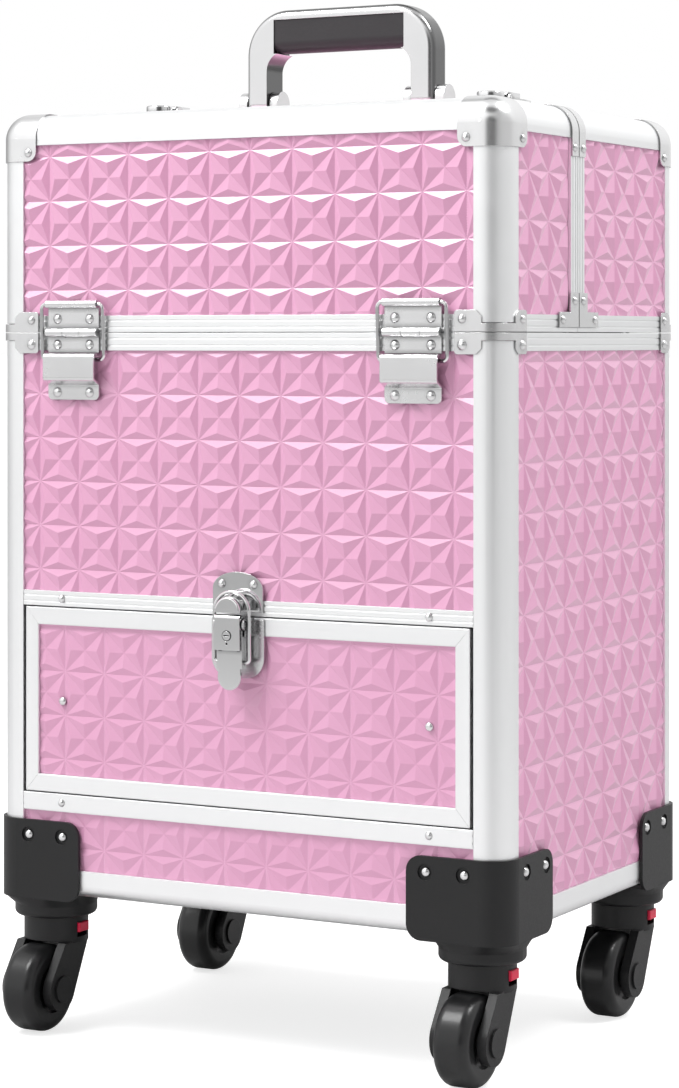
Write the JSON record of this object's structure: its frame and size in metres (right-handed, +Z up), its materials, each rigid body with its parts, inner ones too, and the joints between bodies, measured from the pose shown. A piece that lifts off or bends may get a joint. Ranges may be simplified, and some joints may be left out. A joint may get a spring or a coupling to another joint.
{
  "type": "rolling makeup train case",
  "caption": "Rolling makeup train case: aluminium frame, quilted panels, split lid on wire stays, drawer, draw latches, fold-down handle, trolley handle, swivel casters.",
  "frame": {"origin": "centre of the underside of the case body, between the four corner sockets", "axes": "+X to the right seen from the drawer side, -Y out of the drawer side, +Z up"},
  "size_m": [0.346, 0.2864, 0.622],
  "materials": {
    "pink_vinyl": "pearly satin, embossed diamonds",
    "aluminium_profile": "satin anodised",
    "polished_steel": "polished nickel plate",
    "chrome_wire": "bright chrome plate",
    "satin_steel": "satin zinc plate",
    "black_nylon": "moulded satin black",
    "wheel_rubber": "glossy black",
    "red_button": "moulded red",
    "dark_lining": "black lining",
    "black_grip": "satin black grip"
  },
  "bodies": {
    "case": {"front_panels": "pink_vinyl", "side_panels": "pink_vinyl", "rear_panel": "pink_vinyl", "floor_panels": "dark_lining", "corner_posts": "aluminium_profile", "body_rails": "aluminium_profile", "body_brackets_and_rivets": "polished_steel", "body_hinge_leaves_and_straps": "satin_steel", "hinge_pins": "satin_steel", "drawer_latch_keeper": "chrome_wire", "case_runners": "satin_steel", "corner_sockets": "black_nylon", "socket_screws": "polished_steel", "trolley_outer_tubes": "aluminium_profile", "trolley_brackets": "black_nylon"},
    "front_lid": {"front_lid_panels": "pink_vinyl", "front_lid_frame": "aluminium_profile", "front_lid_caps": "polished_steel", "front_lid_brackets_and_rivets": "polished_steel", "front_hinge_leaves": "satin_steel", "top_latch_keepers": "chrome_wire"},
    "rear_lid": {"rear_lid_panels": "pink_vinyl", "rear_lid_frame": "aluminium_profile", "rear_lid_caps": "polished_steel", "rear_lid_brackets_and_rivets": "polished_steel", "rear_hinge_leaves": "satin_steel", "top_latch_bases": "satin_steel", "carry_handle_lugs": "polished_steel"},
    "front_stays": {"front_stay_bails": "chrome_wire"},
    "rear_stays": {"rear_stay_bails": "chrome_wire"},
    "carry_handle": {"carry_handle": "aluminium_profile", "carry_handle_grip": "black_grip"},
    "drawer": {"drawer_frame": "aluminium_profile", "drawer_front": "pink_vinyl", "drawer_box": "dark_lining", "drawer_runners": "satin_steel", "drawer_latch_base": "satin_steel"},
    "drawer_lever": {"drawer_latch_lever": "chrome_wire"},
    "drawer_bail": {"drawer_latch_bail": "chrome_wire"},
    "left_latch_lever": {"left_top_latch_lever": "chrome_wire"},
    "left_latch_bail": {"left_top_latch_bail": "chrome_wire"},
    "right_latch_lever": {"right_top_latch_lever": "chrome_wire"},
    "right_latch_bail": {"right_top_latch_bail": "chrome_wire"},
    "tray": {"lift_out_tray": "dark_lining"},
    "trolley_middle": {"trolley_middle_tubes": "aluminium_profile"},
    "trolley_inner": {"trolley_inner_tubes": "aluminium_profile", "trolley_grip": "black_grip"},
    "trolley_button": {"trolley_button": "red_button"},
    "front_left_caster": {"front_left_caster_fork": "black_nylon"},
    "front_left_wheel": {"front_left_wheel": "wheel_rubber"},
    "front_left_tab": {"front_left_release_tab": "red_button"},
    "front_right_caster": {"front_right_caster_fork": "black_nylon"},
    "front_right_wheel": {"front_right_wheel": "wheel_rubber"},
    "front_right_tab": {"front_right_release_tab": "red_button"},
    "rear_left_caster": {"rear_left_caster_fork": "black_nylon"},
    "rear_left_wheel": {"rear_left_wheel": "wheel_rubber"},
    "rear_left_tab": {"rear_left_release_tab": "red_button"},
    "rear_right_caster": {"rear_right_caster_fork": "black_nylon"},
    "rear_right_wheel": {"rear_right_wheel": "wheel_rubber"},
    "rear_right_tab": {"rear_right_release_tab": "red_button"}
  },
  "joints": [
    {"name": "front_lid_hinge", "type": "hinge", "parent": "case", "child": "front_lid", "pos_m": [0, -0.1282, 0.3378], "axis": [1, 0, 0], "range_deg": [0, 90]},
    {"name": "front_stay_swing", "type": "hinge", "parent": "front_lid", "child": "front_stays", "pos_m": [0, -0.1285, 0.3548], "axis": [1, 0, 0], "range_deg": [-60, 0]},
    {"name": "rear_lid_hinge", "type": "hinge", "parent": "case", "child": "rear_lid", "pos_m": [0, 0.1282, 0.3378], "axis": [-1, 0, 0], "range_deg": [0, 90]},
    {"name": "rear_stay_swing", "type": "hinge", "parent": "rear_lid", "child": "rear_stays", "pos_m": [0, 0.1285, 0.3548], "axis": [-1, 0, 0], "range_deg": [-60, 0]},
    {"name": "carry_handle_fold", "type": "hinge", "parent": "rear_lid", "child": "carry_handle", "pos_m": [0, 0.004, 0.4806], "axis": [1, 0, 0], "range_deg": [-85, 85]},
    {"name": "drawer_slide", "type": "slide", "parent": "case", "child": "drawer", "axis": [0, -1, 0], "range_m": [0, 0.17]},
    {"name": "drawer_latch_throw", "type": "hinge", "parent": "drawer", "child": "drawer_lever", "pos_m": [0, -0.1346, 0.1695], "axis": [-1, 0, 0], "range_deg": [0, 100]},
    {"name": "drawer_bail_swing", "type": "hinge", "parent": "drawer_lever", "child": "drawer_bail", "pos_m": [0, -0.1334, 0.1475], "axis": [-1, 0, 0], "range_deg": [-83, 0]},
    {"name": "left_latch_throw", "type": "hinge", "parent": "rear_lid", "child": "left_latch_lever", "pos_m": [-0.115, -0.0205, 0.4758], "axis": [1, 0, 0], "range_deg": [0, 100]},
    {"name": "left_bail_swing", "type": "hinge", "parent": "left_latch_lever", "child": "left_latch_bail", "pos_m": [-0.115, 0.0015, 0.4746], "axis": [1, 0, 0], "range_deg": [-83, 0]},
    {"name": "right_latch_throw", "type": "hinge", "parent": "rear_lid", "child": "right_latch_lever", "pos_m": [0.115, -0.0205, 0.4758], "axis": [1, 0, 0], "range_deg": [0, 100]},
    {"name": "right_bail_swing", "type": "hinge", "parent": "right_latch_lever", "child": "right_latch_bail", "pos_m": [0.115, 0.0015, 0.4746], "axis": [1, 0, 0], "range_deg": [-83, 0]},
    {"name": "tray_lift", "type": "slide", "parent": "case", "child": "tray", "axis": [0, 0, 1], "range_m": [0, 0.12]},
    {"name": "trolley_middle_slide", "type": "slide", "parent": "case", "child": "trolley_middle", "axis": [0, 0, -1], "range_m": [-0.25, 0]},
    {"name": "trolley_inner_slide", "type": "slide", "parent": "trolley_middle", "child": "trolley_inner", "axis": [0, 0, -1], "range_m": [-0.25, 0]},
    {"name": "trolley_button_press", "type": "slide", "parent": "trolley_inner", "child": "trolley_button", "axis": [0, 0, -1], "range_m": [0, 0.003]},
    {"name": "front_left_swivel", "type": "hinge", "parent": "case", "child": "front_left_caster", "pos_m": [-0.1444, -0.1, -0.02], "axis": [0, 0, 1], "continuous": true},
    {"name": "front_left_roll", "type": "hinge", "parent": "front_left_caster", "child": "front_left_wheel", "pos_m": [-0.1444, -0.119, -0.0575], "axis": [1, 0, 0], "continuous": true},
    {"name": "front_left_tab_press", "type": "slide", "parent": "front_left_caster", "child": "front_left_tab", "axis": [-1, 0, 0], "range_m": [0, 0.002]},
    {"name": "front_right_swivel", "type": "hinge", "parent": "case", "child": "front_right_caster", "pos_m": [0.1444, -0.1, -0.02], "axis": [0, 0, 1], "continuous": true},
    {"name": "front_right_roll", "type": "hinge", "parent": "front_right_caster", "child": "front_right_wheel", "pos_m": [0.1444, -0.119, -0.0575], "axis": [1, 0, 0], "continuous": true},
    {"name": "front_right_tab_press", "type": "slide", "parent": "front_right_caster", "child": "front_right_tab", "axis": [-1, 0, 0], "range_m": [0, 0.002]},
    {"name": "rear_left_swivel", "type": "hinge", "parent": "case", "child": "rear_left_caster", "pos_m": [-0.1444, 0.1, -0.02], "axis": [0, 0, 1], "continuous": true},
    {"name": "rear_left_roll", "type": "hinge", "parent": "rear_left_caster", "child": "rear_left_wheel", "pos_m": [-0.1444, 0.081, -0.0575], "axis": [1, 0, 0], "continuous": true},
    {"name": "rear_left_tab_press", "type": "slide", "parent": "rear_left_caster", "child": "rear_left_tab", "axis": [-1, 0, 0], "range_m": [0, 0.002]},
    {"name": "rear_right_swivel", "type": "hinge", "parent": "case", "child": "rear_right_caster", "pos_m": [0.1444, 0.1, -0.02], "axis": [0, 0, 1], "continuous": true},
    {"name": "rear_right_roll", "type": "hinge", "parent": "rear_right_caster", "child": "rear_right_wheel", "pos_m": [0.1444, 0.081, -0.0575], "axis": [1, 0, 0], "continuous": true},
    {"name": "rear_right_tab_press", "type": "slide", "parent": "rear_right_caster", "child": "rear_right_tab", "axis": [-1, 0, 0], "range_m": [0, 0.002]}
  ],
  "couplings": [
    {"joint": "front_stay_swing", "follows": "front_lid_hinge", "ratio": -0.6596},
    {"joint": "rear_stay_swing", "follows": "rear_lid_hinge", "ratio": -0.6596},
    {"joint": "drawer_bail_swing", "follows": "drawer_latch_throw", "ratio": -0.82},
    {"joint": "left_bail_swing", "follows": "left_latch_throw", "ratio": -0.82},
    {"joint": "right_bail_swing", "follows": "right_latch_throw", "ratio": -0.82}
  ]
}
